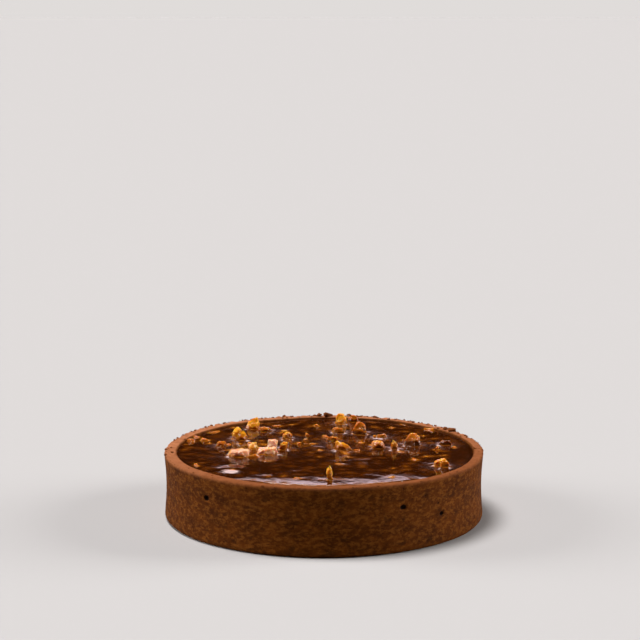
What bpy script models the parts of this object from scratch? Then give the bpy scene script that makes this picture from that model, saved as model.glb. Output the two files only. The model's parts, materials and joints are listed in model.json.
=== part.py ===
"""A round chocolate tart: a straight-sided cocoa shortcrust shell, a set chocolate caramel
filling poured almost to the rim, and chopped nuts that stand in the filling.

Metres, +Z up. The origin is the middle of the shell's underside, and the front faces -Y.
"""

import math
import random

import bmesh
import bpy
from mathutils import Vector

MM = 0.001

# The shell
RIM_WIDTH = 100.0 * MM
CRUST_HEIGHT = 21.0 * MM
WALL_THICKNESS = 3.3 * MM
FLOOR_THICKNESS = 3.3 * MM
WALL_WAIST = 0.55 * MM
RIM_OUTER_ROUND = 0.7 * MM
RIM_INNER_ROUND = 0.5 * MM
FOOT_ROUND = 1.4 * MM
INNER_CORNER_ROUND = 1.5 * MM
SEGMENTS = 84

# How uneven the shell is, as waves round it: (count, height, phase). An even count keeps the
# outline centred on the axis. The wall is thicker on the left than on the right.
OUTLINE_WAVES = ((2, 0.10 * MM, 0.6), (4, 0.07 * MM, 2.1), (10, 0.04 * MM, 0.9))
THICKNESS_WAVES = ((1, 0.5 * MM, -math.pi / 2), (3, 0.12 * MM, 1.1), (7, 0.08 * MM, 2.7))
RIM_HEIGHT_WAVES = ((3, 0.10 * MM, 0.4), (5, 0.08 * MM, 1.9), (11, 0.05 * MM, 2.6))

# The filling
CLEARANCE = 0.3 * MM
FILLING_BELOW_RIM = 0.7 * MM
FILLING_EDGE_RISE = 0.25 * MM
FILLING_EDGE_BAND = 2.2 * MM
FILLING_TOP_STEPS = 9
FILLING_SWELL = 0.1 * MM
SWELL_LENGTH = 17.0 * MM

# The nuts. Each one's middle lies at (x, y) in millimetres. It is wide along its own X, deep
# along its own Y, and stands tall above the filling. It is turned about Z by some degrees, its
# peak leans sideways by shares of its half width and half depth, and its crown is as broad as
# the last number, as a share of its own width: a small share is a splinter, a large one a slab.
NUT_SUNK = 1.4 * MM
NUT_SEED = 7
NUT_JITTER = 0.17
NUT_RINGS = (
    # points, share of the width and depth, height as a share of tall (None is the sunk base)
    (6, 0.74, None),
    (6, 1.00, 0.10),
    (5, 0.86, 0.55),
)
CROWN_POINTS = 4
NUTS = (
    # x, y, wide, deep, tall, turn, peak along X, peak along Y, crown
    (-23.8, 31.2, 4.8, 4.0, 3.4, 20, 0.45, 0.15, 0.42),
    (-27.1, 15.4, 5.6, 4.6, 3.8, -12, -0.30, 0.20, 0.20),
    (-19.4, 26.9, 5.2, 3.6, 1.4, 8, -0.10, 0.10, 0.72),
    (-12.2, 16.2, 3.6, 3.6, 2.3, 35, 0.15, -0.10, 0.70),
    (-27.1, -7.2, 7.8, 5.0, 2.1, -6, 0.25, 0.00, 0.84),
    (-22.3, -0.6, 3.6, 3.6, 2.9, 15, 0.00, 0.10, 0.62),
    (-17.6, -4.6, 7.0, 4.8, 1.9, 8, 0.10, 0.00, 0.92),
    (-12.8, 1.6, 3.1, 3.2, 2.2, -25, 0.10, 0.00, 0.72),
    (5.6, 39.4, 4.5, 4.4, 3.3, 5, 0.15, 0.15, 0.56),
    (11.8, 23.8, 5.2, 5.4, 3.8, 30, 0.10, 0.25, 0.48),
    (4.6, 25.6, 5.0, 3.8, 1.6, -10, 0.00, 0.10, 0.66),
    (2.9, 12.4, 4.8, 4.0, 1.7, 5, -0.10, 0.00, 0.68),
    (6.2, 0.6, 6.2, 4.6, 2.5, -22, -0.40, 0.10, 0.48),
    (17.6, 4.2, 5.0, 4.2, 2.1, 12, -0.25, 0.00, 0.60),
    (22.1, 1.4, 2.4, 2.6, 2.9, -30, 0.10, 0.20, 0.46),
    (27.9, 7.9, 6.2, 6.2, 3.7, 10, 0.35, 0.30, 0.44),
    (35.8, -20.9, 5.4, 4.2, 2.1, -24, -0.10, 0.10, 0.62),
    (1.6, -38.9, 2.3, 2.3, 4.5, 0, 0.20, 0.10, 0.34),
    (38.6, 8.4, 4.4, 3.2, 1.3, 15, 0.10, 0.00, 0.60),
    (-32.8, 5.9, 3.8, 3.2, 1.6, 30, 0.10, 0.10, 0.55),
    (18.0, 18.6, 4.4, 2.8, 1.1, 4, 0.25, 0.00, 0.62),
    (9.6, 42.4, 4.4, 3.2, 2.1, -6, 0.15, 0.10, 0.46),
    (-16.3, 1.5, 4.0, 3.2, 3.1, 8, 0.05, 0.00, 0.80),
)

# Worked out from the sizes above
RIM_RADIUS = RIM_WIDTH / 2
INNER_RADIUS = RIM_RADIUS - WALL_THICKNESS
FILLING_RADIUS = INNER_RADIUS - CLEARANCE
FILLING_BOTTOM = FLOOR_THICKNESS + CLEARANCE
FILLING_LEVEL = CRUST_HEIGHT - FILLING_BELOW_RIM


def clear_scene():
    for obj in list(bpy.data.objects):
        bpy.data.objects.remove(obj)


def principled(name, colour, roughness):
    material = bpy.data.materials.new(name)
    material.use_nodes = True
    shader = material.node_tree.nodes["Principled BSDF"]
    shader.inputs["Base Color"].default_value = (*colour, 1.0)
    shader.inputs["Roughness"].default_value = roughness
    material.diffuse_color = (*colour, 1.0)
    return material


def add_object(name, shape, material):
    """Puts a bmesh into the scene as an object of its own, and frees it."""
    mesh = bpy.data.meshes.new(name)
    shape.to_mesh(mesh)
    shape.free()
    mesh.materials.append(material)
    obj = bpy.data.objects.new(name, mesh)
    bpy.context.scene.collection.objects.link(obj)
    return obj


def arc(centre_r, centre_z, radius, start, end, steps=3):
    """The (r, z) points of a profile's round corner, between two angles in degrees."""
    angles = [math.radians(start + (end - start) * i / steps) for i in range(steps + 1)]
    return [(centre_r + radius * math.cos(a), centre_z + radius * math.sin(a)) for a in angles]


def spin(profile):
    """The closed shape that a profile of (r, z) points, from axis to axis, turns into."""
    shape = bmesh.new()
    line = [shape.verts.new((r, 0.0, z)) for r, z in profile]
    edges = [shape.edges.new(pair) for pair in zip(line, line[1:])]
    bmesh.ops.spin(
        shape,
        geom=line + edges,
        cent=(0, 0, 0),
        axis=(0, 0, 1),
        angle=math.tau,
        steps=SEGMENTS,
        use_merge=True,
    )
    bmesh.ops.remove_doubles(shape, verts=shape.verts, dist=0.002 * MM)
    bmesh.ops.recalc_face_normals(shape, faces=shape.faces)
    return shape


def waves(angle, table):
    return sum(height * math.sin(count * angle + phase) for count, height, phase in table)


def uneven_radius(r, angle):
    """Moves a radius of the true round shape to the uneven one. Inside the wall it stretches
    with the wall's inner face, so that the shell and the filling keep the gap between them."""
    outer = RIM_RADIUS + waves(angle, OUTLINE_WAVES)
    inner = INNER_RADIUS - waves(angle, THICKNESS_WAVES)
    if r <= INNER_RADIUS:
        return r * inner / INNER_RADIUS
    return inner + (r - INNER_RADIUS) * (outer - inner) / (RIM_RADIUS - INNER_RADIUS)


def make_uneven(shape, lift):
    """Moves a turned shape's points to the uneven outline, and up by lift(x, y, z)."""
    for vert in shape.verts:
        angle = math.atan2(vert.co.y, vert.co.x)
        r = uneven_radius(math.hypot(vert.co.x, vert.co.y), angle)
        x, y = r * math.cos(angle), r * math.sin(angle)
        vert.co = Vector((x, y, vert.co.z + lift(x, y, vert.co.z)))


# The shell: shortcrust pressed into a ring, with a flat floor as thick as its wall


def crust_profile():
    top, rim_r, inner_r = CRUST_HEIGHT, RIM_RADIUS, INNER_RADIUS
    foot = arc(rim_r - FOOT_ROUND, FOOT_ROUND, FOOT_ROUND, -90, 0)
    wall_height = top - FOOT_ROUND - RIM_OUTER_ROUND
    wall = [
        (rim_r - WALL_WAIST * math.sin(math.pi * share), FOOT_ROUND + share * wall_height)
        for share in (0.2, 0.4, 0.6, 0.8)
    ]
    rim_outer = arc(rim_r - RIM_OUTER_ROUND, top - RIM_OUTER_ROUND, RIM_OUTER_ROUND, 0, 90)
    rim_inner = arc(inner_r + RIM_INNER_ROUND, top - RIM_INNER_ROUND, RIM_INNER_ROUND, 90, 180)
    corner = arc(
        inner_r - INNER_CORNER_ROUND,
        FLOOR_THICKNESS + INNER_CORNER_ROUND,
        INNER_CORNER_ROUND,
        0,
        -90,
    )
    floor = [(0.0, FLOOR_THICKNESS)]
    return [(0.0, 0.0), *foot, *wall, *rim_outer, *rim_inner, *corner, *floor]


def rim_lift(x, y, z):
    """The rim isn't quite level. The unevenness fades out down the wall."""
    share = max(0.0, z / CRUST_HEIGHT - 0.5) * 2
    return share * waves(math.atan2(y, x), RIM_HEIGHT_WAVES)


def build_crust(material):
    shape = spin(crust_profile())
    make_uneven(shape, rim_lift)
    crust = add_object("crust", shape, material)
    crust.data.shade_smooth()
    crust.data.set_sharp_from_angle(angle=math.radians(40))
    return crust


# The filling: set solid to the shell's floor, climbing a little where it meets the wall


def filling_profile():
    corner_r = INNER_CORNER_ROUND
    corner = arc(FILLING_RADIUS - corner_r, FILLING_BOTTOM + corner_r, corner_r, -90, 0)
    edge_level = FILLING_LEVEL + FILLING_EDGE_RISE
    band_r = FILLING_RADIUS - FILLING_EDGE_BAND
    top = [(FILLING_RADIUS, edge_level), (FILLING_RADIUS - FILLING_EDGE_BAND / 3, FILLING_LEVEL)]
    top += [
        (band_r * (1 - step / FILLING_TOP_STEPS), FILLING_LEVEL)
        for step in range(FILLING_TOP_STEPS + 1)
    ]
    return [(0.0, FILLING_BOTTOM), *corner, *top]


def filling_lift(x, y, z):
    """The set surface swells slightly. The sides and the underside stay where they are."""
    if z < FILLING_LEVEL or math.hypot(x, y) > FILLING_RADIUS - FILLING_EDGE_BAND:
        return 0.0
    return FILLING_SWELL * math.sin(x / SWELL_LENGTH + 0.7) * math.cos(y / SWELL_LENGTH * 1.3)


def build_filling(material):
    shape = spin(filling_profile())
    make_uneven(shape, filling_lift)
    filling = add_object("filling", shape, material)
    filling.data.shade_smooth()
    filling.data.set_sharp_from_angle(angle=math.radians(40))
    return filling


# The nuts: chopped pieces with flat broken faces, each sunk in a pocket of the filling


def nut_points(wide, deep, tall, peak, crown, rng):
    """The corners of one broken piece, ring by ring from its sunk base to its crown."""
    points = []
    for count, share, height in (*NUT_RINGS, (CROWN_POINTS, crown, 1.0)):
        lean = 0.0 if height is None else height
        z = -NUT_SUNK if height is None else height * tall
        start = rng.uniform(0, math.tau)
        for i in range(count):
            angle = start + math.tau * (i + rng.uniform(-0.25, 0.25)) / count
            reach = share * (1 + rng.uniform(-NUT_JITTER, NUT_JITTER))
            reach = min(reach, 1.0) - lean * share * max(map(abs, peak)) * 0.3
            points.append(
                Vector((
                    wide / 2 * (reach * math.cos(angle) + lean * peak[0]),
                    deep / 2 * (reach * math.sin(angle) + lean * peak[1]),
                    z + 0.1 * tall * rng.uniform(-1, 1),
                ))
            )
    return points


def hull(points):
    """The closed faceted shape stretched over a cloud of points."""
    shape = bmesh.new()
    verts = [shape.verts.new(point) for point in points]
    made = bmesh.ops.convex_hull(shape, input=verts)
    inside = {v for v in made["geom_interior"] + made["geom_unused"] if v.is_valid}
    bmesh.ops.delete(shape, geom=list(inside), context="VERTS")
    bmesh.ops.recalc_face_normals(shape, faces=shape.faces)
    return shape


def grown(points, by):
    """The same cloud of points, each moved away from their middle."""
    middle = sum(points, Vector()) / len(points)
    return [point + (point - middle).normalized() * by for point in points]


def build_nut(number, row, filling, nut_material, filling_material):
    x, y, wide, deep, tall, turn, peak_x, peak_y, crown = row
    rng = random.Random(NUT_SEED * 100 + number)
    points = nut_points(wide * MM, deep * MM, tall * MM, (peak_x, peak_y), crown, rng)
    nut = add_object(f"nut_{number:02d}", hull(points), nut_material)
    pocket = add_object(f"pocket_{number:02d}", hull(grown(points, 1.6 * CLEARANCE)), filling_material)
    for obj in (nut, pocket):
        obj.location = (x * MM, y * MM, FILLING_LEVEL)
        obj.rotation_euler = (0, 0, math.radians(turn))
    pocket.hide_render = True
    pocket.display_type = "WIRE"
    cut = filling.modifiers.new(pocket.name, "BOOLEAN")
    cut.operation = "DIFFERENCE"
    cut.object = pocket
    return nut


def build_tart():
    clear_scene()
    pastry = principled("cocoa_pastry", (0.19, 0.075, 0.033), 0.8)
    caramel = principled("chocolate_caramel", (0.045, 0.012, 0.003), 0.15)
    nut_flesh = principled("glazed_nut", (0.52, 0.25, 0.075), 0.3)
    build_crust(pastry)
    filling = build_filling(caramel)
    for number, row in enumerate(NUTS, start=1):
        build_nut(number, row, filling, nut_flesh, caramel)


build_tart()
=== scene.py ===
import json
import math
import random

import bmesh
import bpy
import numpy as np
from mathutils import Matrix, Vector
from mathutils.bvhtree import BVHTree

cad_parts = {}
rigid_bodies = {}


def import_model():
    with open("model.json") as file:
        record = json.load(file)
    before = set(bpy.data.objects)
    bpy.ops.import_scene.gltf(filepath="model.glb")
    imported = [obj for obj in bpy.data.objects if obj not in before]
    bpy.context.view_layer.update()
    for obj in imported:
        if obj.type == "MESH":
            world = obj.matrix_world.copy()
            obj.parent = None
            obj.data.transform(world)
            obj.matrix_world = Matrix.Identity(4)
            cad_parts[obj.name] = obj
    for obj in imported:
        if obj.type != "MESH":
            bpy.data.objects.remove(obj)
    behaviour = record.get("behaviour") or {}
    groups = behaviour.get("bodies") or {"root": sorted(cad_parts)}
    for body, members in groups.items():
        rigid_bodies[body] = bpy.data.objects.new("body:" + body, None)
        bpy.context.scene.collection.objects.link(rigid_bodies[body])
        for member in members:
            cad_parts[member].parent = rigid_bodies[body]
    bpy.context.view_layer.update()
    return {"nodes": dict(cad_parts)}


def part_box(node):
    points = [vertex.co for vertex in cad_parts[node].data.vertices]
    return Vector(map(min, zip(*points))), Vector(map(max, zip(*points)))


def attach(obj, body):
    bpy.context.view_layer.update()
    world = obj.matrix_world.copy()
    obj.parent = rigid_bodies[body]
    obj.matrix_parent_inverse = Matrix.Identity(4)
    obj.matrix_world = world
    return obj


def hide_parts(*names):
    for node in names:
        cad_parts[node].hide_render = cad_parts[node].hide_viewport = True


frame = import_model()
MM = 0.001


# The shell. Cocoa shortcrust is pressed into a plain ring and baked blind: a straight wall with a
# fine open crumb and a few burst air holes, a rim cut level, and a flat foot that the ring rounded.
# Its uneven outline and rim height are read off the frame's crust all the way round.

SHELL_SEGMENTS = 900
FOOT_ROUND = 1.4 * MM
RIM_OUTER_ROUND = 0.7 * MM
RIM_INNER_ROUND = 0.5 * MM
INNER_CORNER_ROUND = 1.5 * MM
WALL_WAIST = 0.55 * MM
FLOOR_THICKNESS = 3.3 * MM
FINE_STEP = 0.37 * MM
COARSE_STEP = 7.0 * MM
OUTLINE_SAMPLES = 252
OUTLINE_WAVES = 13

# Burst air holes in the wall: degrees round from +X, height, half width, depth
AIR_HOLES = (
    (-135.0, 14.2 * MM, 0.80 * MM, 1.1 * MM),
    (-61.8, 13.7 * MM, 0.75 * MM, 0.9 * MM),
    (-46.2, 12.9 * MM, 0.35 * MM, 0.5 * MM),
    (-44.5, 9.4 * MM, 0.65 * MM, 0.8 * MM),
    (34.0, 12.5 * MM, 0.70 * MM, 0.8 * MM),
    (97.0, 7.5 * MM, 0.80 * MM, 1.0 * MM),
    (152.0, 14.0 * MM, 0.55 * MM, 0.7 * MM),
    (188.0, 5.0 * MM, 0.60 * MM, 0.7 * MM),
)


def round_the_tart(measure):
    """A length measured at many angles and kept as its low waves, as a function of the angle."""
    angles = np.arange(OUTLINE_SAMPLES) * math.tau / OUTLINE_SAMPLES
    found = np.array([measure(angle) for angle in angles])
    terms = np.fft.rfft(found)[:OUTLINE_WAVES] / OUTLINE_SAMPLES
    orders = np.arange(OUTLINE_WAVES)
    terms = terms * np.where(orders == 0, 1, 2)

    def length(angle):
        turns = np.exp(1j * np.multiply.outer(np.asarray(angle, float), orders))
        return (turns * terms).real.sum(-1)

    return length


frame_crust = BVHTree.FromObject(frame["nodes"]["crust"], bpy.context.evaluated_depsgraph_get())
crust_low, crust_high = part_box("crust")


def outward(angle):
    return Vector((math.cos(angle), math.sin(angle), 0.0))


def outer_face(angle):
    start = outward(angle) * 2 * crust_high.x + Vector((0, 0, crust_low.z + 1.05 * FOOT_ROUND))
    return frame_crust.ray_cast(start, -outward(angle))[0].xy.length


def inner_face(angle):
    start = Vector((0, 0, (crust_low.z + crust_high.z) / 2))
    return frame_crust.ray_cast(start, outward(angle))[0].xy.length


outer_radius = round_the_tart(outer_face)
inner_radius = round_the_tart(inner_face)


def rim_face(angle):
    middle = float(outer_radius(angle) + inner_radius(angle)) / 2
    start = outward(angle) * middle + Vector((0, 0, 2 * crust_high.z))
    return frame_crust.ray_cast(start, Vector((0, 0, -1)))[0].z


rim_height = round_the_tart(rim_face)
ROUND_OUTER = float(outer_radius(np.arange(360) * math.tau / 360).mean())
ROUND_INNER = float(inner_radius(np.arange(360) * math.tau / 360).mean())
RIM_TOP = float(rim_height(np.arange(360) * math.tau / 360).mean())


def run(start, end, step):
    """The (r, z) points of a straight stretch of the profile, without its end."""
    count = max(1, round(math.dist(start, end) / step))
    return [tuple(np.add(start, np.subtract(end, start) * i / count)) for i in range(count)]


def bend(centre_r, centre_z, radius, start, end, steps):
    """The (r, z) points of a rounded corner, between two angles in degrees, without its end."""
    angles = [math.radians(start + (end - start) * i / steps) for i in range(steps)]
    return [(centre_r + radius * math.cos(a), centre_z + radius * math.sin(a)) for a in angles]


def shell_profile():
    """The shell's section, from under its middle, up the wall, over the rim and in to the axis."""
    foot_r, rim_z = ROUND_OUTER - FOOT_ROUND, RIM_TOP - RIM_OUTER_ROUND
    inner_z = RIM_TOP - RIM_INNER_ROUND
    shown_z = RIM_TOP - 3 * MM
    corner_r, corner_z = ROUND_INNER - INNER_CORNER_ROUND, FLOOR_THICKNESS + INNER_CORNER_ROUND
    return [
        *run((0.0, 0.0), (foot_r - 4 * MM, 0.0), COARSE_STEP),
        *run((foot_r - 4 * MM, 0.0), (foot_r, 0.0), 0.8 * MM),
        *bend(foot_r, FOOT_ROUND, FOOT_ROUND, -90, 0, 6),
        *run((ROUND_OUTER, FOOT_ROUND), (ROUND_OUTER, rim_z), FINE_STEP),
        *bend(ROUND_OUTER - RIM_OUTER_ROUND, rim_z, RIM_OUTER_ROUND, 0, 90, 5),
        *run(
            (ROUND_OUTER - RIM_OUTER_ROUND, RIM_TOP),
            (ROUND_INNER + RIM_INNER_ROUND, RIM_TOP),
            0.3 * MM,
        ),
        *bend(ROUND_INNER + RIM_INNER_ROUND, inner_z, RIM_INNER_ROUND, 90, 180, 4),
        *run((ROUND_INNER, inner_z), (ROUND_INNER, shown_z), 0.5 * MM),
        *run((ROUND_INNER, shown_z), (ROUND_INNER, corner_z), COARSE_STEP),
        *bend(corner_r, corner_z, INNER_CORNER_ROUND, 0, -90, 3),
        *run((corner_r, FLOOR_THICKNESS), (0.0, FLOOR_THICKNESS), 2 * COARSE_STEP),
        (0.0, FLOOR_THICKNESS),
    ]


def turned_shell():
    """The shell as rings of points, one ring for each point of the profile, with a pole at
    both ends. Returns its points, its faces and each point's profile radius and height."""
    profile = np.array(shell_profile())
    rings = profile[1:-1]
    angles = np.arange(SHELL_SEGMENTS) * math.tau / SHELL_SEGMENTS
    outer, inner, top = outer_radius(angles), inner_radius(angles), rim_height(angles)
    r, z = rings[:, :1], rings[:, 1:]
    in_wall = (r - ROUND_INNER) / (ROUND_OUTER - ROUND_INNER)
    radius = np.where(r < ROUND_INNER, r * inner / ROUND_INNER, inner + in_wall * (outer - inner))
    share = np.clip((z - FOOT_ROUND) / (RIM_TOP - RIM_OUTER_ROUND - FOOT_ROUND), 0, 1)
    radius = radius - WALL_WAIST * np.sin(math.pi * share) * np.clip(in_wall, 0, 1)
    height = z + (top - RIM_TOP) * np.clip(2 * z / RIM_TOP - 1, 0, 1)
    points = np.stack([radius * np.cos(angles), radius * np.sin(angles), height], -1)
    points = np.concatenate([[[0, 0, profile[0, 1]]], points.reshape(-1, 3), [[0, 0, profile[-1, 1]]]])
    ring = np.arange(SHELL_SEGMENTS)
    after = np.roll(ring, -1)
    faces = [(0, 1 + b, 1 + a) for a, b in zip(ring, after)]
    for row in range(len(rings) - 1):
        low, high = 1 + row * SHELL_SEGMENTS, 1 + (row + 1) * SHELL_SEGMENTS
        faces += [(low + a, low + b, high + b, high + a) for a, b in zip(ring, after)]
    last, pole = 1 + (len(rings) - 1) * SHELL_SEGMENTS, len(points) - 1
    faces += [(last + a, last + b, pole) for a, b in zip(ring, after)]
    where = np.concatenate([profile[:1], np.repeat(rings, SHELL_SEGMENTS, axis=0), profile[-1:]])
    return points, faces, where


def new_piece(name, points, faces):
    mesh = bpy.data.meshes.new(name)
    mesh.from_pydata([tuple(point) for point in points], [], [tuple(map(int, f)) for f in faces])
    mesh.update()
    piece = bpy.data.objects.new(name, mesh)
    bpy.context.scene.collection.objects.link(piece)
    return piece


def mark(piece, name, values):
    """Stores a number for each of the piece's points, for its nodes and its material to read."""
    attribute = piece.data.attributes.new(name, "FLOAT", "POINT")
    attribute.data.foreach_set("value", np.asarray(values, np.float32))


def add(tree, kind, inputs=None, **settings):
    """Adds a node. Each input is a value or another node's output."""
    node = tree.nodes.new(kind)
    for name, value in settings.items():
        setattr(node, name, value)
    for key, value in (inputs or {}).items():
        if isinstance(value, bpy.types.NodeSocket):
            tree.links.new(value, node.inputs[key])
        else:
            node.inputs[key].default_value = value
    return node


def maths(tree, operation, *terms, clamp=False):
    """The output of a Math node on these numbers or outputs."""
    node = add(tree, "ShaderNodeMath", dict(enumerate(terms)), operation=operation, use_clamp=clamp)
    return node.outputs[0]


def ramp_down(tree, value, start, end):
    """1 where value is under start, falling smoothly to 0 at end."""
    inputs = {"Value": value, "From Min": start, "From Max": end, "To Min": 1.0, "To Max": 0.0}
    return add(tree, "ShaderNodeMapRange", inputs, interpolation_type="SMOOTHSTEP").outputs[0]


def new_geometry_tree(name, **sizes):
    """A geometry tree with a geometry input and one named input for each size."""
    tree = bpy.data.node_groups.new(name, "GeometryNodeTree")
    tree.interface.new_socket("Geometry", in_out="INPUT", socket_type="NodeSocketGeometry")
    for size, value in sizes.items():
        kind = type(value).__name__
        socket_type = {"float": "NodeSocketFloat", "int": "NodeSocketInt"}.get(kind, "NodeSocketMaterial")
        socket = tree.interface.new_socket(size, in_out="INPUT", socket_type=socket_type)
        if kind in ("float", "int"):
            socket.default_value = value
    tree.interface.new_socket("Geometry", in_out="OUTPUT", socket_type="NodeSocketGeometry")
    return tree, tree.nodes.new("NodeGroupInput").outputs


def close_tree(tree, geometry, material):
    """Ends a geometry tree: its instances made real, in one material."""
    real = add(tree, "GeometryNodeRealizeInstances", {0: geometry}).outputs[0]
    painted = add(tree, "GeometryNodeSetMaterial", {"Geometry": real, "Material": material})
    add(tree, "NodeGroupOutput", {0: painted.outputs[0]})


def shape_with(piece, tree, **values):
    """Runs a geometry tree on a piece and keeps the result as the piece's own plain mesh."""
    modifier = piece.modifiers.new(tree.name, "NODES")
    modifier.node_group = tree
    sockets = {s.name: s.identifier for s in tree.interface.items_tree if s.in_out == "INPUT"}
    for name, value in values.items():
        modifier[sockets[name.replace("_", " ")]] = value
    depsgraph = bpy.context.evaluated_depsgraph_get()
    made = bpy.data.meshes.new_from_object(piece.evaluated_get(depsgraph), depsgraph=depsgraph)
    piece.modifiers.remove(modifier)
    made.name = piece.name
    piece.data = made
    return piece


def named(tree, name, data_type="FLOAT"):
    node = add(tree, "GeometryNodeInputNamedAttribute", {"Name": name}, data_type=data_type)
    return next(socket for socket in node.outputs if socket.enabled)


def pits(tree, place, spacing, share, radius, depth):
    """Small round hollows, one in some of the cells of a Voronoi pattern."""
    scale = maths(tree, "DIVIDE", 1.0, spacing)
    cells = add(tree, "ShaderNodeTexVoronoi", {"Vector": place, "Scale": scale})
    draw = add(tree, "ShaderNodeSeparateXYZ", {"Vector": cells.outputs["Color"]}).outputs
    there = maths(tree, "LESS_THAN", draw[0], share)
    size = maths(tree, "MULTIPLY", radius, maths(tree, "ADD", 0.55, draw[1]))
    distance = maths(tree, "MULTIPLY", cells.outputs["Distance"], spacing)
    bowl = ramp_down(tree, maths(tree, "DIVIDE", distance, size), 0.2, 1.0)
    return maths(tree, "MULTIPLY", maths(tree, "MULTIPLY", bowl, there), depth)


def baked_crumb_tree():
    """Gives a smooth pastry surface its grain, its pits and its crumbling rim edge."""
    tree, size = new_geometry_tree(
        "Baked crumb",
        **{
            "Swell": 0.16 * MM,
            "Swell Length": 21.0 * MM,
            "Grain": 0.21 * MM,
            "Grain Length": 1.25 * MM,
            "Pit Spacing": 2.3 * MM,
            "Pit Radius": 0.36 * MM,
            "Pit Depth": 0.32 * MM,
            "Crumble": 2.4 * MM,
            "Crumble Length": 2.3 * MM,
            "Material": None,
        },
    )
    place = tree.nodes.new("GeometryNodeInputPosition").outputs[0]
    normal = tree.nodes.new("GeometryNodeInputNormal").outputs[0]

    def relief(length, height, detail):
        scale = maths(tree, "DIVIDE", 1.0, length)
        inputs = {"Vector": place, "Scale": scale, "Detail": detail, "Roughness": 0.6}
        noise = add(tree, "ShaderNodeTexNoise", inputs).outputs[0]
        return maths(tree, "MULTIPLY", maths(tree, "SUBTRACT", noise, 0.5), height)

    shown, edge, holes = (named(tree, name) for name in ("shown", "edge", "holes"))
    hollow = pits(tree, place, size["Pit Spacing"], 0.5, size["Pit Radius"], size["Pit Depth"])
    swell = relief(size["Swell Length"], size["Swell"], 1.0)
    grain = relief(size["Grain Length"], size["Grain"], 3.0)
    crumble = relief(size["Crumble Length"], size["Crumble"], 2.0)
    crumble = maths(tree, "MULTIPLY", crumble, edge)
    rise = maths(tree, "MULTIPLY", maths(tree, "ADD", swell, grain), shown)
    sunk = maths(tree, "MULTIPLY", hollow, shown)
    rise = maths(tree, "ADD", maths(tree, "SUBTRACT", rise, sunk), crumble)
    rise = maths(tree, "SUBTRACT", rise, holes)
    offset = add(tree, "ShaderNodeVectorMath", {0: normal, "Scale": rise}, operation="SCALE").outputs[0]
    # How deep each pit and burst hole is, stored for the material to paint shade into them
    depth = maths(tree, "DIVIDE", maths(tree, "ADD", sunk, holes), size["Pit Depth"])
    kept = add(
        tree, "GeometryNodeStoreNamedAttribute", {"Geometry": size[0], "Name": "pit", "Value": depth}
    )
    moved = add(tree, "GeometryNodeSetPosition", {"Geometry": kept.outputs[0], "Offset": offset})
    close_tree(tree, moved.outputs[0], size["Material"])
    return tree


def new_material(name, **sockets):
    """A material whose Principled shader has these constant values."""
    material = bpy.data.materials.new(name)
    material.use_nodes = True
    shader = material.node_tree.nodes["Principled BSDF"]
    for socket, value in sockets.items():
        shader.inputs[socket.replace("_", " ")].default_value = value
    return material, material.node_tree, shader


def mix_colour(tree, factor, first, second, blend="MIX"):
    node = add(tree, "ShaderNodeMix", data_type="RGBA", blend_type=blend)
    for index, value in ((0, factor), (6, first), (7, second)):
        if isinstance(value, bpy.types.NodeSocket):
            tree.links.new(value, node.inputs[index])
        else:
            node.inputs[index].default_value = (*value, 1.0) if isinstance(value, tuple) else value
    return node.outputs[2]


def attribute(tree, name):
    return add(tree, "ShaderNodeAttribute", attribute_name=name).outputs["Fac"]


def noise(tree, place, length, detail=3.0, roughness=0.55):
    inputs = {"Vector": place, "Scale": 1 / length, "Detail": detail, "Roughness": roughness}
    return add(tree, "ShaderNodeTexNoise", inputs).outputs["Fac"]


def between(tree, value, low, high):
    """0 where value is under low, rising smoothly to 1 at high."""
    inputs = {"Value": value, "From Min": low, "From Max": high}
    return add(tree, "ShaderNodeMapRange", inputs, interpolation_type="SMOOTHSTEP").outputs[0]


PASTRY_DARK = (0.054, 0.0125, 0.0003)
PASTRY_MID = (0.108, 0.0272, 0.0013)
PASTRY_PALE = (0.26, 0.086, 0.012)
PASTRY_RIM = (0.44, 0.172, 0.076)
# A darker rim colour: painted shade on the rim's front and right, and also random baked patches and the crumbs' own
# tone
PASTRY_TOAST_AND_SHADE = (0.225, 0.071, 0.022)
# Painted shade: the colour put into the pits and burst holes
PASTRY_PIT_SHADE = (0.012, 0.004, 0.001)
PASTRY_HOLLOW = (0.035, 0.0095, 0.0006)


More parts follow.
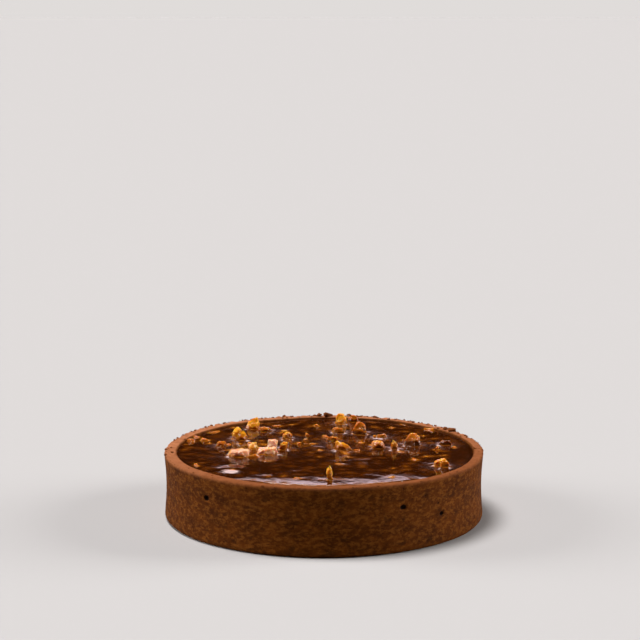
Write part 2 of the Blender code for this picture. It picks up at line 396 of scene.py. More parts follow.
def pastry_material():
    material, tree, shader = new_material("cocoa_pastry", Roughness=0.8, Specular_IOR_Level=0.05)
    place = tree.nodes.new("ShaderNodeTexCoord").outputs["Object"]
    layered = add(tree, "ShaderNodeVectorMath", {0: place, 1: (1.0, 1.0, 1.7)}, operation="MULTIPLY").outputs[0]
    patches = between(tree, noise(tree, layered, 7 * MM, 3.0, 0.6), 0.30, 0.70)
    grain = between(tree, noise(tree, layered, 1.9 * MM, 4.0, 0.7), 0.42, 0.66)
    specks = between(tree, noise(tree, layered, 0.9 * MM, 3.0, 0.7), 0.56, 0.66)
    colour = mix_colour(tree, patches, PASTRY_DARK, PASTRY_MID)
    colour = mix_colour(tree, maths(tree, "MULTIPLY", grain, 0.52), colour, PASTRY_PALE)
    colour = mix_colour(tree, maths(tree, "MULTIPLY", specks, 0.8), colour, PASTRY_DARK)
    hollows = between(tree, noise(tree, layered, 3.2 * MM, 2.0), 0.58, 0.70)
    colour = mix_colour(tree, maths(tree, "MULTIPLY", hollows, 0.6), colour, PASTRY_HOLLOW)
    # Painted shade: by its mark the rim top darkens towards the front and right; the same darker colour also gives
    # random baked patches below and the crumbs' own tone
    rim_colour = mix_colour(tree, attribute(tree, "toasted"), PASTRY_RIM, PASTRY_TOAST_AND_SHADE)
    rim_colour = mix_colour(tree, maths(tree, "MULTIPLY", specks, 0.35), rim_colour, PASTRY_MID)
    baked = between(tree, noise(tree, place, 3.2 * MM, 3.0, 0.6), 0.5, 0.66)
    rim_colour = mix_colour(tree, maths(tree, "MULTIPLY", baked, 0.5), rim_colour, PASTRY_TOAST_AND_SHADE)
    # The rim colour over the wall: partly the drier cut top, partly painted light for the sheen on the lit top
    share = maths(tree, "MULTIPLY_ADD", grain, 0.22, 0.78)
    colour = mix_colour(tree, maths(tree, "MULTIPLY", attribute(tree, "rim"), share), colour, rim_colour)
    # Painted shade: the pits and burst holes are darkened by their depth
    pit = between(tree, attribute(tree, "pit"), 0.15, 1.1)
    colour = mix_colour(tree, pit, colour, PASTRY_PIT_SHADE)
    tree.links.new(colour, shader.inputs["Base Color"])
    crumb = noise(tree, place, 0.5 * MM, 4.0, 0.65)
    bump = add(tree, "ShaderNodeBump", {"Strength": 0.7, "Distance": 0.2 * MM, "Height": crumb})
    tree.links.new(bump.outputs[0], shader.inputs["Normal"])
    return material


pastry = pastry_material()
shell_points, shell_faces, shell_where = turned_shell()
shell = new_piece("pastry_shell", shell_points, shell_faces)
shell_r, shell_z = shell_where.T
on_outside = np.clip((shell_r - (ROUND_OUTER - FOOT_ROUND - 3 * MM)) / (2 * MM), 0, 1)
on_rim = np.clip((shell_z - (RIM_TOP - 3 * MM)) / (1 * MM), 0, 1)
mark(shell, "shown", np.maximum(on_outside, on_rim) * np.clip((shell_z + 0.4 * MM) / (1 * MM), 0, 1))
corner_distance = np.hypot(shell_r - (ROUND_OUTER - 0.2 * MM), shell_z - (RIM_TOP - 0.2 * MM))
shell_angle = np.arctan2(shell_points[:, 1], shell_points[:, 0])
at_back = 0.55 + 0.45 * np.sin(shell_angle)
mark(shell, "edge", np.exp(-((corner_distance / (0.8 * MM)) ** 2)) * at_back)
# The rim mark: the top is paler, partly for its drier cut crumb and partly as painted light for the sheen on its lit
# top; the inner side under the rim keeps little of it, as painted shade
pale_top_and_sheen = np.clip((shell_z - (RIM_TOP - 1.4 * MM)) / (1.3 * MM), 0, 1) ** 1.5
mark(shell, "rim", pale_top_and_sheen * np.clip((shell_r - ROUND_INNER) / RIM_INNER_ROUND, 0.1, 1))
# Painted shade: the rim top is darker towards the front and right, none at the back and back-left, as if lit from the
# back-left
mark(shell, "toasted", np.clip(0.45 - 0.75 * np.sin(shell_angle - 0.35), 0, 1))
hole_depth = np.zeros(len(shell_points))
for degrees, height, half_width, depth in AIR_HOLES:
    sideways = (shell_angle - math.radians(degrees) + math.pi) % math.tau - math.pi
    away = np.hypot(sideways * ROUND_OUTER / 1.5, shell_points[:, 2] - height) / half_width
    on_wall = shell_r > ROUND_OUTER - FOOT_ROUND
    hole_depth += depth * np.clip(1.15 - away**2, 0, 1) * on_wall
mark(shell, "holes", hole_depth)
shape_with(shell, baked_crumb_tree(), Material=pastry)
shell.data.shade_smooth()
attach(shell, "root")
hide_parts("crust")


# The chopped nuts. Roasted nuts are broken into pieces with flat faces and rounded edges, stirred
# into warm caramel and left standing in it. Each large piece is the frame's own, with its edges
# worn and its faces made uneven.

# Each large piece's own look: its tint (0 is a pale inner face, 1 a golden one, 2 a deep roasted
# one) and how far up in mm the caramel coats it
NUT_LOOKS = {
    "nut_01": (1.15, -0.1), "nut_02": (1.35, 0.1), "nut_03": (0.9, 0.6), "nut_04": (1.1, 0.5),
    "nut_05": (0.35, -0.7), "nut_06": (1.0, -0.2), "nut_07": (0.1, -0.7), "nut_08": (0.8, 0.3),
    "nut_09": (1.15, -0.6), "nut_10": (2.1, 0.8), "nut_11": (1.5, 0.5), "nut_12": (1.2, 0.5),
    "nut_13": (1.7, 0.2), "nut_14": (1.5, 0.4), "nut_15": (1.2, 0.5), "nut_16": (2.0, 1.3),
    "nut_17": (1.3, 0.4), "nut_18": (1.3, 0.2), "nut_19": (1.8, 1.2), "nut_20": (1.6, 0.3),
    "nut_21": (1.2, 0.2), "nut_22": (2.2, 0.6), "nut_23": (0.1, -0.4),
}


def keep(tree, geometry, name, value):
    """Stores a number for each point, for the material to read."""
    inputs = {"Geometry": geometry, "Name": name, "Value": value}
    return add(tree, "GeometryNodeStoreNamedAttribute", inputs).outputs[0]


def worn_nut_tree():
    """Turns a faceted lump into a broken nut: scooped breaks that meet in ridges, worn edges and
    fine lumps."""
    tree, size = new_geometry_tree(
        "Worn nut",
        **{
            "Levels": 4,
            "Wear": 2,
            "Bulk": 0.12 * MM,
            "Break Length": 2.0 * MM,
            "Slant": 0.24,
            "Scoop": 0.24 * MM,
            "Lumps": 0.14 * MM,
            "Lump Length": 0.9 * MM,
            "Tint": 1.0,
            "Material": None,
        },
    )
    fine = add(tree, "GeometryNodeSubdivideMesh", {"Mesh": size[0], "Level": size["Levels"]}).outputs[0]
    place = tree.nodes.new("GeometryNodeInputPosition").outputs[0]
    normal = tree.nodes.new("GeometryNodeInputNormal").outputs[0]

    def along_normal(height):
        inputs = {0: normal, "Scale": height}
        return add(tree, "ShaderNodeVectorMath", inputs, operation="SCALE").outputs[0]

    # Each cell of the pattern is one break: a shallow bowl, slanted its own way
    scale = maths(tree, "DIVIDE", 1.0, size["Break Length"])
    cell = add(tree, "ShaderNodeTexVoronoi", {"Vector": place, "Scale": scale}).outputs
    tilt = add(tree, "ShaderNodeVectorMath", {0: cell["Color"], 1: (0.5, 0.5, 0.5)}, operation="SUBTRACT")
    across = add(tree, "ShaderNodeVectorMath", {0: place, 1: cell["Position"]}, operation="SUBTRACT")
    inputs = {0: tilt.outputs[0], 1: across.outputs[0]}
    slant = add(tree, "ShaderNodeVectorMath", inputs, operation="DOT_PRODUCT").outputs["Value"]
    slant = maths(tree, "MULTIPLY", slant, maths(tree, "MULTIPLY", size["Slant"], 2.0))
    draws = add(tree, "ShaderNodeSeparateXYZ", {"Vector": cell["Color"]}).outputs
    bowl = maths(tree, "SUBTRACT", 1.0, maths(tree, "POWER", maths(tree, "DIVIDE", cell["Distance"], 0.8), 2.0))
    bowl = maths(tree, "MULTIPLY", bowl, maths(tree, "MULTIPLY_ADD", draws[0], 0.8, 0.4), clamp=True)
    faced = keep(tree, keep(tree, fine, "face", draws[2]), "hollow", bowl)
    sunk = maths(tree, "SUBTRACT", slant, maths(tree, "MULTIPLY", bowl, size["Scoop"]))
    broken = add(tree, "GeometryNodeSetPosition", {"Geometry": faced, "Offset": along_normal(sunk)})

    worn = add(tree, "GeometryNodeBlurAttribute", data_type="FLOAT_VECTOR")
    tree.links.new(place, next(s for s in worn.inputs if s.name == "Value" and s.enabled))
    tree.links.new(size["Wear"], worn.inputs["Iterations"])
    worn_place = next(s for s in worn.outputs if s.enabled)
    smooth = add(tree, "GeometryNodeSetPosition", {"Geometry": broken.outputs[0], "Position": worn_place})

    scale = maths(tree, "DIVIDE", 1.0, size["Lump Length"])
    lumps = add(tree, "ShaderNodeTexNoise", {"Vector": place, "Scale": scale, "Detail": 2.5}).outputs[0]
    lumps = maths(tree, "MULTIPLY", maths(tree, "SUBTRACT", lumps, 0.5), size["Lumps"])
    rise = maths(tree, "ADD", lumps, size["Bulk"])
    moved = add(tree, "GeometryNodeSetPosition", {"Geometry": smooth.outputs[0], "Offset": along_normal(rise)})
    tint = maths(tree, "ADD", named(tree, "tint"), size["Tint"])
    close_tree(tree, keep(tree, moved.outputs[0], "tint", tint), size["Material"])
    return tree


NUT_PALE = (0.67, 0.360, 0.235)
NUT_GOLD = (0.74, 0.335, 0.010)
NUT_DEEP = (0.42, 0.118, 0.004)
NUT_AMBER = (0.36, 0.100, 0.0020)
NUT_CARAMEL = (0.085, 0.018, 0.0008)


def nut_material():
    material, tree, shader = new_material(
        "glazed_nut",
        Roughness=0.5,
        Specular_IOR_Level=0.05,
        Coat_Weight=0.4,
        Coat_Roughness=0.12,
        Subsurface_Weight=0.85,
        Subsurface_Scale=1.6 * MM,
    )
    shader.inputs["Subsurface Radius"].default_value = (1.0, 0.45, 0.20)
    place = tree.nodes.new("ShaderNodeTexCoord").outputs["Object"]
    cloud = maths(tree, "SUBTRACT", noise(tree, place, 1.6 * MM, 3.0, 0.6), 0.5)
    face = maths(tree, "SUBTRACT", attribute(tree, "face"), 0.5)
    tint = maths(tree, "MULTIPLY_ADD", cloud, 1.4, attribute(tree, "tint"))
    tint = maths(tree, "MULTIPLY_ADD", face, 0.9, tint)
    colour = mix_colour(tree, between(tree, tint, 0.0, 1.0), NUT_PALE, NUT_GOLD)
    colour = mix_colour(tree, between(tree, tint, 1.0, 2.0), colour, NUT_DEEP)
    flat = add(tree, "ShaderNodeVectorMath", {0: place, 1: (0.55, 0.7, 3.0)}, operation="MULTIPLY").outputs[0]
    patches = maths(tree, "SUBTRACT", noise(tree, flat, 1.5 * MM, 3.0, 0.6), 0.5)
    bare = maths(tree, "MULTIPLY_ADD", patches, 3.0, attribute(tree, "bare"))
    bare = maths(tree, "MULTIPLY_ADD", attribute(tree, "hollow"), -0.6, bare)
    bare = maths(tree, "MULTIPLY_ADD", attribute(tree, "tint"), -0.4, bare)
    coat = mix_colour(tree, between(tree, bare, -1.5, -0.2), NUT_CARAMEL, NUT_AMBER)
    colour = mix_colour(tree, between(tree, bare, 0.1, 1.0), coat, colour)
    tree.links.new(colour, shader.inputs["Base Color"])
    flesh = noise(tree, place, 0.6 * MM, 3.0)
    bump = add(tree, "ShaderNodeBump", {"Strength": 0.3, "Distance": 0.1 * MM, "Height": flesh})
    tree.links.new(bump.outputs[0], shader.inputs["Normal"])
    return material


def merged_copy(node_name, piece_name):
    """A copy of a frame node whose loose triangles are joined up."""
    shape = bmesh.new()
    shape.from_mesh(frame["nodes"][node_name].data)
    bmesh.ops.remove_doubles(shape, verts=shape.verts, dist=0.001 * MM)
    mesh = bpy.data.meshes.new(piece_name)
    shape.to_mesh(mesh)
    shape.free()
    piece = bpy.data.objects.new(piece_name, mesh)
    bpy.context.scene.collection.objects.link(piece)
    return piece


nut_flesh = nut_material()
worn_nut = worn_nut_tree()
large_nuts = {}
for node_name, (tint, _) in NUT_LOOKS.items():
    nut = merged_copy(node_name, "roasted_" + node_name)
    shape_with(nut, worn_nut, Tint=tint, Material=nut_flesh)
    nut.data.shade_smooth()
    large_nuts[node_name] = nut


# The small nut pieces. The smallest chopped bits and the pieces that sank lie between the large
# ones, most of them under the glaze, which they lift into low mounds. They are one mesh.

# Pieces that show as mounds or bright tips: x, y, width in mm, and how far each stands out of the
# caramel's level in mm (less than nothing for one that only glows through)
SMALL_NUTS = (
    (-28.3, -25.8, 5.2, 0.9), (-7.9, -36.2, 4.6, 0.75), (-17.4, -34.0, 3.4, 0.45), (20.1, -35.5, 4.7, 0.6), (-12.0, -33.0, 2.8, 0.4), (-0.8, -38.6, 2.8, 0.45),
    (4.9, -18.5, 3.7, 0.35), (12.5, -11.0, 6.5, 0.0), (26.7, -11.0, 7.4, 0.25), (-4.5, -22.0, 4.2, -0.1),
    (-1.2, 0.5, 2.5, 0.5), (-36.9, 10.0, 2.9, 0.4), (-39.0, -19.5, 2.2, 0.5), (-5.4, 21.5, 2.3, 0.9),
    (-5.8, 13.5, 2.1, 1.1), (-8.0, 8.5, 2.1, 1.0), (0.4, 18.6, 2.6, 0.8), (-2.0, 35.0, 2.7, 1.0),
    (41.4, 4.5, 1.8, 0.6), (35.7, 1.5, 2.1, 0.9), (24.3, -2.0, 4.7, 0.8), (27.1, 38.0, 3.3, 0.4),
)
SMALL_NUT_SHAPES = 9
filling_tops = [v.co.z for v in frame["nodes"]["filling"].data.vertices if v.co.z > 0.9 * crust_high.z]
LEVEL = float(np.median(filling_tops))


def broken_lump(name, seed, corners):
    """A faceted lump about 1 across, stretched over points on a ball."""
    draw = random.Random(seed)
    shape = bmesh.new()
    for _ in range(corners):
        point = Vector([draw.gauss(0, 1) for _ in range(3)]).normalized()
        shape.verts.new(point * draw.uniform(0.42, 0.56))
    made = bmesh.ops.convex_hull(shape, input=shape.verts)
    inside = {v for v in made["geom_interior"] + made["geom_unused"] if v.is_valid}
    bmesh.ops.delete(shape, geom=list(inside), context="VERTS")
    bmesh.ops.recalc_face_normals(shape, faces=shape.faces)
    mesh = bpy.data.meshes.new(name)
    shape.to_mesh(mesh)
    shape.free()
    return bpy.data.objects.new(name, mesh)


def scatter_tree(shapes):
    """Strews small lumps over the points of a cloud, each turned and stretched by its own draw."""
    tree, size = new_geometry_tree("Strewn pieces", **{"Seed": 11, "Tint Spread": 0.7, "Material": None})
    choice = add(tree, "GeometryNodeCollectionInfo", {"Collection": shapes, "Separate Children": True})

    def drawn(data_type, low, high, offset):
        node = add(tree, "FunctionNodeRandomValue", data_type=data_type)
        sockets = [s for s in node.inputs if s.enabled and s.name in ("Min", "Max")]
        for socket, value in zip(sockets, (low, high)):
            if isinstance(value, bpy.types.NodeSocket):
                tree.links.new(value, socket)
            else:
                socket.default_value = value
        tree.links.new(maths(tree, "ADD", size["Seed"], offset), node.inputs["Seed"])
        return next(s for s in node.outputs if s.enabled)

    turn = drawn("FLOAT_VECTOR", (-0.35, -0.35, 0.0), (0.35, 0.35, math.tau), 0)
    stretch = drawn("FLOAT_VECTOR", (0.95, 0.6, 0.45), (1.25, 0.9, 0.7), 7)
    inputs = {0: stretch, "Scale": named(tree, "width")}
    scale = add(tree, "ShaderNodeVectorMath", inputs, operation="SCALE").outputs[0]
    inputs = {"Points": size[0], "Instance": choice.outputs[0], "Pick Instance": True}
    inputs |= {"Rotation": turn, "Scale": scale}
    strewn = add(tree, "GeometryNodeInstanceOnPoints", inputs).outputs[0]
    spread = maths(tree, "MULTIPLY", size["Tint Spread"], -1.0)
    inputs = {"Geometry": strewn, "Name": "tint", "Value": drawn("FLOAT", spread, size["Tint Spread"], 3)}
    tinted = add(tree, "GeometryNodeStoreNamedAttribute", inputs, domain="INSTANCE").outputs[0]
    close_tree(tree, tinted, size["Material"])
    return tree


shapes = bpy.data.collections.new("lump_shapes")
for index in range(SMALL_NUT_SHAPES):
    shapes.objects.link(broken_lump(f"lump_{index}", index, 9 + index % 4))

rows = [(x * MM, y * MM, width * MM, out * MM) for x, y, width, out in SMALL_NUTS]
draw = random.Random(5)
taken = [(x, y, width / 2) for x, y, width, _ in rows]
for node_name in NUT_LOOKS:
    low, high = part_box(node_name)
    taken.append(((low.x + high.x) / 2, (low.y + high.y) / 2, max(high.x - low.x, high.y - low.y) / 2))
for _ in range(3000):
    angle, r = draw.uniform(0, math.tau), (ROUND_INNER - 1.5 * MM) * math.sqrt(draw.random())
    x, y = r * math.cos(angle), r * math.sin(angle)
    width = draw.triangular(3.0, 10.0, 4.8) * MM
    in_pool = y < -9 * MM
    kind = draw.random()
    if in_pool and draw.random() < 0.6:
        continue
    if any(math.hypot(x - a, y - b) < 0.72 * (width / 2 + c) for a, b, c in taken):
        continue
    if in_pool:
        out = draw.uniform(-0.9, -0.25) * MM
    elif kind < 0.45:
        out = draw.uniform(-0.35, 0.05) * MM
    elif kind < 0.82:
        out = draw.uniform(-0.8, -0.3) * MM
    elif kind < 0.91:
        out = draw.uniform(0.0, 0.4) * MM
    else:
        out = draw.uniform(0.5, 1.1) * MM
        width = min(width, 4.8 * MM)
    taken.append((x, y, width / 2))
    rows.append((x, y, width, out))

points = [(x, y, LEVEL + out - 0.28 * width) for x, y, width, out in rows]
cloud = new_piece("small_nuts", points, [])
mark(cloud, "width", [width for _, _, width, _ in rows])
shape_with(cloud, scatter_tree(shapes), Material=nut_flesh)
shape_with(cloud, worn_nut, Levels=1, Wear=0, Bulk=0.04 * MM, Break_Length=1.6 * MM, Scoop=0.15 * MM, Material=nut_flesh)
cloud.data.shade_smooth()


# The filling. Chocolate caramel is poured warm over the nuts and sets glossy. It creeps up the
# wall and up every nut that stands out of it, and stretches as a thin skin over those just below.

CELL = 0.2 * MM
CREEP_LENGTH = 1.5 * MM
CREEP_ROUNDS = 260
SKIN = 0.10 * MM
CLIMB = 0.30 * MM
SMALL_CLIMB = 0.06 * MM
SKIRT_DEPTH = 0.6 * MM
LAP_DEPTH = 0.55 * MM
WALL_RISE = 0.12 * MM
FRONT_RISE_FROM = 36.5 * MM
FRONT_SLOPE = math.tan(math.radians(5.2))
FRONT_LUMPS = 0.020 * MM
FRONT_CREST = 0.25 * MM
LAP = 0.8 * MM
STIRRED_REACH = 3.5 * MM
STIRRED_WAVES = 0.042 * MM
INTO_WALL = 0.05 * MM
TOP_CELLS = 262
FILM_BLUR = 7
GLOW_ROUNDS = 12
GLOW_FALL = 1.0

# Broad low mounds in the glaze where pieces lie deeper: x, y, half width and height in mm
MOUNDS = (
    (-28.3, -25.0, 3.4, 1.05), (-17.2, -33.4, 1.8, 0.40), (-11.9, -31.4, 1.8, 0.34), (-8.1, -28.3, 2.2, 0.36),
    (-5.3, -35.9, 1.8, 0.36), (-0.6, -37.4, 2.0, 0.38), (6.2, -38.9, 1.8, 0.34), (14.3, -33.3, 2.0, 0.34),
    (5.0, -16.0, 2.6, 0.50), (24.2, -0.6, 2.4, 0.42), (32.5, -18.2, 2.0, 0.36),
    (-1.9, 3.6, 2.2, 0.40), (-21.0, 20.5, 2.0, 0.36), (12.0, -14.5, 3.0, 0.42),
)


def heights_from_above(pieces):
    """The height of the highest surface of these pieces over each cell, and -1 where there is none."""
    verts, faces = [], []
    for piece in pieces:
        start = len(verts)
        verts += [v.co.copy() for v in piece.data.vertices]
        faces += [[start + i for i in p.vertices] for p in piece.data.polygons]
    nuts = BVHTree.FromPolygons(verts, faces)
    found = np.full(grid_x.shape, -1.0)
    down, top = Vector((0, 0, -1)), 2 * crust_high.z
    for i, j in np.argwhere(np.hypot(grid_x, grid_y) < ROUND_INNER):
        hit = nuts.ray_cast(Vector((grid_x[i, j], grid_y[i, j], top)), down)[0]
        if hit is not None:
            found[i, j] = hit.z
    return found


def smoothed(field):
    """The field with each cell averaged with its neighbours."""
    padded = np.pad(field, 1, mode="edge")
    rows_ = (padded[:-2] + 2 * padded[1:-1] + padded[2:]) / 4
    return (rows_[:, :-2] + 2 * rows_[:, 1:-1] + rows_[:, 2:]) / 4


def waves(x, y, length, seed):
    """A smooth random field between about -1 and 1, the sum of a few plane waves."""
    draw = random.Random(seed)
    total = np.zeros(np.shape(x))
    for _ in range(7):
        way, wavelength, phase = draw.uniform(0, math.tau), length * draw.uniform(0.7, 1.6), draw.uniform(0, math.tau)
        total += np.sin(math.tau * (x * math.cos(way) + y * math.sin(way)) / wavelength + phase)
    return total / math.sqrt(7)


half = ROUND_INNER + 2.5 * MM
cells = int(2 * half / CELL) | 1
axis = np.linspace(-half, half, cells)
grid_x, grid_y = np.meshgrid(axis, axis)
grid_r, grid_a = np.hypot(grid_x, grid_y), np.arctan2(grid_y, grid_x)


def front_share(angle):
    """How far round the front the caramel has run up to the rim, 0 to 1."""
    off_front = np.abs((angle + math.radians(88) + math.pi) % math.tau - math.pi)
    share = np.clip(1.35 - (off_front / math.radians(36)) ** 2, 0, 1)
    return share**2 * (3 - 2 * share)


large_tops = heights_from_above(large_nuts.values())
small_tops = heights_from_above([cloud])
level = LEVEL + 0.05 * MM * waves(grid_x, grid_y, 22 * MM, 3)
front = front_share(grid_a) * np.clip(grid_r - FRONT_RISE_FROM, 0, None)
level = level + FRONT_SLOPE * front
level = level + FRONT_LUMPS * waves(grid_x, grid_y, 4.4 * MM, 17) * np.minimum(front / (5 * MM), 1)
for x, y, half_width, height in MOUNDS:
    away = ((grid_x / MM - x) ** 2 + (grid_y / MM - y) ** 2) / half_width**2
    level = level + height * MM * np.exp(-away)
crest = rim_height(grid_a) + FRONT_CREST * front_share(grid_a)
level = np.minimum(level, crest)
wall_level = level + WALL_RISE * (1 + 0.5 * np.sin(5 * grid_a + 1) * np.sin(3 * grid_a))
wall_level = np.minimum(wall_level, crest)
climb = CLIMB * (1 + 0.45 * waves(grid_x, grid_y, 9 * MM, 8))
held_up = np.minimum(large_tops + SKIN, level + climb)
held_up = np.maximum(held_up, np.minimum(small_tops + SKIN, level + SMALL_CLIMB))
in_shell = grid_r < inner_radius(grid_a)
glaze = np.where(in_shell, np.maximum(level, held_up), wall_level)
pull = (CELL / CREEP_LENGTH) ** 2
for _ in range(CREEP_ROUNDS):
    around = glaze[:-2, 1:-1] + glaze[2:, 1:-1] + glaze[1:-1, :-2] + glaze[1:-1, 2:]
    settled = (around + pull * level[1:-1, 1:-1]) / (4 + pull)
    settled = np.maximum(settled, held_up[1:-1, 1:-1])
    glaze[1:-1, 1:-1] = np.where(in_shell[1:-1, 1:-1], settled, glaze[1:-1, 1:-1])
for _ in range(4):
    glaze = smoothed(glaze)
glaze += 0.010 * MM * waves(grid_x, grid_y, 4.5 * MM, 12)
glaze += 0.005 * MM * waves(grid_x, grid_y, 2.0 * MM, 19)
stirred = np.zeros(grid_x.shape)
for node_name in NUT_LOOKS:
    low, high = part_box(node_name)
    away = np.hypot(grid_x - (low.x + high.x) / 2, grid_y - (low.y + high.y) / 2)
    reach = max(high.x - low.x, high.y - low.y) / 2 + STIRRED_REACH
    stirred = np.maximum(stirred, np.exp(-((away / reach) ** 2)))
glaze += STIRRED_WAVES * waves(grid_x, grid_y, 2.6 * MM, 23) * stirred
film = np.clip(glaze - np.maximum(large_tops - SKIRT_DEPTH, small_tops), 0, 2.5 * MM)
film = np.where(in_shell, film, film + (LAP_DEPTH - film) * front_share(grid_a))
for _ in range(GLOW_ROUNDS):
    near = np.pad(film, 1, mode="edge") + GLOW_FALL * CELL
    for beside in (near[:-2, 1:-1], near[2:, 1:-1], near[1:-1, :-2], near[1:-1, 2:]):
        film = np.minimum(film, beside)
for _ in range(FILM_BLUR):
    film = smoothed(film)


def read_off(field, x, y):
    """The field's value at any places, between its cells."""
    u, v = (x + half) / (2 * half) * (cells - 1), (y + half) / (2 * half) * (cells - 1)
    i, j = np.clip(np.floor(v).astype(int), 0, cells - 2), np.clip(np.floor(u).astype(int), 0, cells - 2)
    s, t = v - i, u - j
    low = field[i, j] * (1 - t) + field[i, j + 1] * t
    high = field[i + 1, j] * (1 - t) + field[i + 1, j + 1] * t
    return low * (1 - s) + high * s


def disc_points(count):
    """A square mesh of count by count cells pressed into a round disc of radius 1."""
    a, b = np.meshgrid(np.linspace(-1, 1, count + 1), np.linspace(-1, 1, count + 1))
    wide = np.abs(a) > np.abs(b)
    big, small = np.where(wide, a, b), np.where(wide, b, a)
    turn = math.pi / 4 * small / np.where(big == 0, 1, big)
    x = np.where(wide, big * np.cos(turn), big * np.sin(turn))
    y = np.where(wide, big * np.sin(turn), big * np.cos(turn))
    return x.ravel(), y.ravel()


def filling_mesh():
    unit_x, unit_y = disc_points(TOP_CELLS)
    share, angle = np.hypot(unit_x, unit_y), np.arctan2(unit_y, unit_x)
    inner = inner_radius(angle)
    lap = LAP * np.clip(6 * front_share(angle) - 5, 0, 1) * (1 + 0.3 * np.sin(23 * angle) + 0.2 * np.sin(41 * angle))
    reach = inner + INTO_WALL + lap
    r = share * reach
    x, y = r * np.cos(angle), r * np.sin(angle)
    past = np.clip((r - inner) / (reach - inner), 0, 1)
    lip = rim_height(angle) + FRONT_CREST * (np.sqrt(1 - past**2) - 0.2 * past)
    z = np.where((r > inner) & (lap > 0.1 * MM), lip, read_off(glaze, x, y))
    top = np.stack([x, y, z], -1)
    count = TOP_CELLS + 1
    index = np.arange(count * count).reshape(count, count)
    quads = np.stack([index[:-1, :-1], index[:-1, 1:], index[1:, 1:], index[1:, :-1]], -1)
    faces = quads.reshape(-1, 4).tolist()
    edge = [*index[0, :-1], *index[:-1, -1], *index[-1, :0:-1], *index[:0:-1, 0]]
    edge_a = angle[edge]
    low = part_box("filling")[0].z
    side_r = inner_radius(edge_a) + INTO_WALL
    rings = [(side_r, top[edge, 2] - 0.5 * MM), (side_r, np.full(len(edge), low + 2 * MM))]
    rings += [(side_r - 1.5 * MM, np.full(len(edge), low))]
    points, above = [top], list(edge)
    start = len(top)
    for radius, height in rings:
        points.append(np.stack([radius * np.cos(edge_a), radius * np.sin(edge_a), height], -1))
        below = list(range(start, start + len(edge)))
        start += len(edge)
        for k in range(len(edge)):
            n = (k + 1) % len(edge)
            faces.append((above[n], above[k], below[k], below[n]))
        above = below
    points.append([[0.0, 0.0, low]])
    faces += [(above[(k + 1) % len(edge)], above[k], start) for k in range(len(edge))]
    return np.concatenate(points), faces


GLAZE_DEEP = (0.030, 0.0060, 0.0004)
GLAZE_BROWN = (0.082, 0.0185, 0.0011)
GLAZE_AMBER = (0.27, 0.077, 0.0040)
GLAZE_GOLD = (0.62, 0.27, 0.030)


def glaze_material():
    material, tree, shader = new_material("chocolate_caramel", IOR=1.5)
    place = tree.nodes.new("ShaderNodeTexCoord").outputs["Object"]
    drift = maths(tree, "SUBTRACT", noise(tree, place, 4.0 * MM, 3.0), 0.5)
    thick = maths(tree, "MULTIPLY_ADD", drift, 1.4, attribute(tree, "film"))
    shreds = maths(tree, "SUBTRACT", noise(tree, place, 1.3 * MM, 3.0, 0.6), 0.5)
    thick = maths(tree, "MULTIPLY_ADD", shreds, 1.0, thick)
    colour = mix_colour(tree, between(tree, thick, 0.0, 0.35), GLAZE_GOLD, GLAZE_AMBER)
    colour = mix_colour(tree, between(tree, thick, 0.25, 1.0), colour, GLAZE_BROWN)
    colour = mix_colour(tree, between(tree, thick, 0.9, 2.3), colour, GLAZE_DEEP)
    tree.links.new(colour, shader.inputs["Base Color"])
    dulled = maths(tree, "MULTIPLY_ADD", attribute(tree, "stirred"), 0.085, 0.085)
    tree.links.new(dulled, shader.inputs["Roughness"])
    ripple = noise(tree, place, 1.6 * MM, 2.0)
    bump = add(tree, "ShaderNodeBump", {"Strength": 0.2, "Distance": 0.2 * MM, "Height": ripple})
    tree.links.new(bump.outputs[0], shader.inputs["Normal"])
    return material


caramel = glaze_material()
filling_points, filling_faces = filling_mesh()
filling = new_piece("caramel_filling", filling_points, filling_faces)
film_here = read_off(film, filling_points[:, 0], filling_points[:, 1])
mark(filling, "film", film_here / MM)
mark(filling, "stirred", read_off(stirred, filling_points[:, 0], filling_points[:, 1]))
filling.data.materials.append(caramel)
filling.data.shade_smooth()
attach(filling, "root")
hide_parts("filling")

for node_name, piece in [*large_nuts.items(), ("", cloud)]:
    where = np.array([v.co for v in piece.data.vertices])
    above_glaze = where[:, 2] - read_off(glaze, where[:, 0], where[:, 1])
    mark(piece, "bare", above_glaze / MM - NUT_LOOKS.get(node_name, (0, 0))[1])
    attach(piece, "root")
for node_name, piece in large_nuts.items():
    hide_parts(node_name)


# The crumbs. Baked crumbs broken off the shell's edge lie on the rim, most of them along its
# outer edge at the back. They are one mesh, in the shell's own material.

# The largest crumbs: x, y and width in mm
LARGE_CRUMBS = (
    (1.4, 48.2, 4.4), (-1.6, 48.4, 3.0), (42.1, 25.2, 3.8), (40.0, 27.6, 2.2), (-13.6, 47.4, 2.0), (8.6, 48.3, 2.4),
    (-47.6, -5.0, 1.4), (17.5, 46.6, 1.8), (-21.0, 44.0, 1.5), (30.0, 38.2, 1.6),
)
CRUMB_COUNT = 220

rows = [(math.atan2(y, x), math.hypot(x, y) * MM, width * MM) for x, y, width in LARGE_CRUMBS]
draw = random.Random(21)
for _ in range(CRUMB_COUNT):
    angle = draw.gauss(math.pi / 2, 0.85) if draw.random() < 0.8 else draw.uniform(0, math.tau)
    outer, inner = float(outer_radius(angle)), float(inner_radius(angle))
    near_edge = draw.random() < 0.7
    r = outer - abs(draw.gauss(0.25, 0.3)) * MM if near_edge else draw.uniform(inner + 0.3 * MM, outer)
    rows.append((angle, r, draw.triangular(0.35, 1.5, 0.6) * MM))

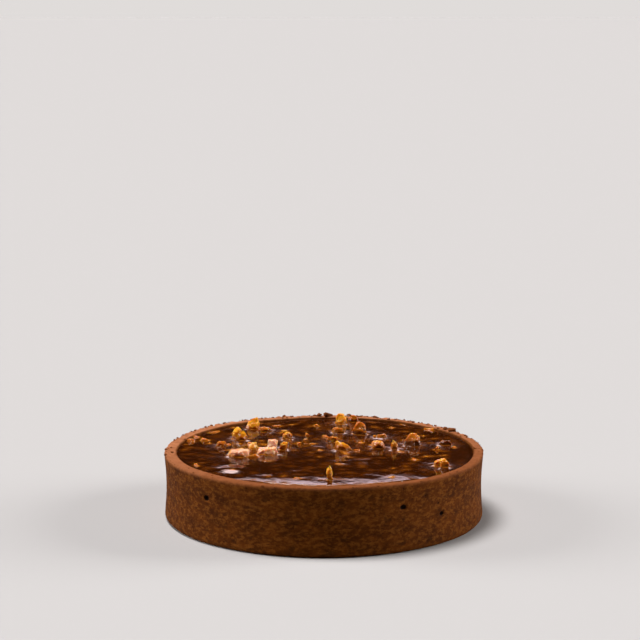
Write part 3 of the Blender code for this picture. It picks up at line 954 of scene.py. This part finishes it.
points = []
for angle, r, width in rows:
    over_edge = max(0.0, r - float(outer_radius(angle)) + RIM_OUTER_ROUND)
    height = float(rim_height(angle)) - over_edge**2 / (2 * RIM_OUTER_ROUND) + 0.12 * width
    points.append((r * math.cos(angle), r * math.sin(angle), height))
crumbs = new_piece("pastry_crumbs", points, [])
mark(crumbs, "width", [width for _, _, width in rows])
shape_with(crumbs, scatter_tree(shapes), Seed=4, Material=pastry)
shape_with(crumbs, worn_nut, Levels=1, Wear=0, Bulk=0.0, Break_Length=0.6 * MM, Scoop=0.05 * MM, Lump_Length=0.5 * MM, Lumps=0.2 * MM, Material=pastry)
mark(crumbs, "rim", np.full(len(crumbs.data.vertices), 0.6))
mark(crumbs, "toasted", np.full(len(crumbs.data.vertices), 1.0))
crumbs.data.shade_smooth()
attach(crumbs, "root")
for shape in list(shapes.objects):
    bpy.data.objects.remove(shape)
bpy.data.collections.remove(shapes)


# The studio: a plain pale floor, a large soft lamp above and one to each side, a bright band low
# in the sky behind, and the camera level with someone sitting at the table.

CAMERA_DISTANCE = 590 * MM
CAMERA_HEIGHT_ANGLE = 13.3
CAMERA_PITCH = 9.357
CAMERA_TURN = 0.123

camera = bpy.data.objects.new("camera", bpy.data.cameras.new("camera"))
camera.data.lens, camera.data.sensor_width = 105.0, 36.0
camera.data.clip_start, camera.data.clip_end = 0.05, 300.0
rise = math.radians(CAMERA_HEIGHT_ANGLE)
camera.location = (0.0, -CAMERA_DISTANCE * math.cos(rise), RIM_TOP + CAMERA_DISTANCE * math.sin(rise))
camera.rotation_euler = (math.radians(90 - CAMERA_PITCH), 0.0, math.radians(CAMERA_TURN))
bpy.context.scene.collection.objects.link(camera)
bpy.context.scene.camera = camera

FLOOR_REACH = 60.0
floor_corners = [(-FLOOR_REACH, -FLOOR_REACH, 0), (FLOOR_REACH, -FLOOR_REACH, 0)]
floor_corners += [(FLOOR_REACH, FLOOR_REACH, 0), (-FLOOR_REACH, FLOOR_REACH, 0)]
floor = new_piece("floor", floor_corners, [(0, 1, 2, 3)])
floor_material, floor_tree, floor_shader = new_material("pale_floor", Roughness=0.9, Specular_IOR_Level=0.0)
floor_shader.inputs["Base Color"].default_value = (0.474, 0.479, 0.484, 1.0)
floor.data.materials.append(floor_material)



def soft_sun(name, towards, strength, degrees_across, colour):
    """A lamp so large and far away that its light is even over the whole floor."""
    sun = bpy.data.lights.new(name, "SUN")
    sun.energy, sun.angle, sun.color = strength, math.radians(degrees_across), colour
    holder = bpy.data.objects.new(name, sun)
    holder.rotation_euler = Vector(towards).to_track_quat("Z", "Y").to_euler()
    bpy.context.scene.collection.objects.link(holder)


soft_sun("top_light", (-0.25, 0.05, 1.0), 3.4, 24, (1.0, 0.94, 0.92))
soft_sun("left_light", (-1.0, 0.15, 0.35), 2.2, 30, (1.0, 0.96, 0.93))
soft_sun("right_light", (1.0, 0.15, 0.35), 2.8, 30, (1.0, 0.96, 0.93))

world = bpy.data.worlds.new("studio")
bpy.context.scene.world = world
world.use_nodes = True
sky = world.node_tree
way = add(sky, "ShaderNodeSeparateXYZ", {"Vector": sky.nodes.new("ShaderNodeTexCoord").outputs["Generated"]})
height = way.outputs["Z"]
low_sky = ramp_down(sky, height, math.sin(math.radians(5.5)), math.sin(math.radians(7.5)))
lowest_sky = ramp_down(sky, height, math.sin(math.radians(1.5)), math.sin(math.radians(4.5)))
sky_colour = mix_colour(sky, low_sky, (0.004, 0.002, 0.001), (1.0, 0.72, 0.78))
sky_colour = mix_colour(sky, lowest_sky, sky_colour, (1.5, 1.1, 1.2))
behind = maths(sky, "MULTIPLY_ADD", between(sky, way.outputs["Y"], -0.4, 0.3), 0.85, 0.15)
sky_colour = mix_colour(sky, 1.0, sky_colour, behind, "MULTIPLY")
# A window high up behind: it shines only in what leans towards the camera
sideways = maths(sky, "ABSOLUTE", way.outputs["X"])
window = ramp_down(sky, sideways, 0.22, 0.30)
window = maths(sky, "MULTIPLY", window, between(sky, height, 0.38, 0.46))
window = maths(sky, "MULTIPLY", window, ramp_down(sky, height, 0.68, 0.76))
window = maths(sky, "MULTIPLY", window, between(sky, way.outputs["Y"], 0.0, 0.1))
rays = sky.nodes.new("ShaderNodeLightPath").outputs
window = maths(sky, "MULTIPLY", window, rays["Is Glossy Ray"])
sky_colour = mix_colour(sky, window, sky_colour, (5.4, 4.1, 4.0))
sky_colour = mix_colour(sky, rays["Is Camera Ray"], sky_colour, (0.745, 0.716, 0.701))
sky.links.new(sky_colour, sky.nodes["Background"].inputs["Color"])
bpy.context.scene.view_settings.view_transform = "Standard"
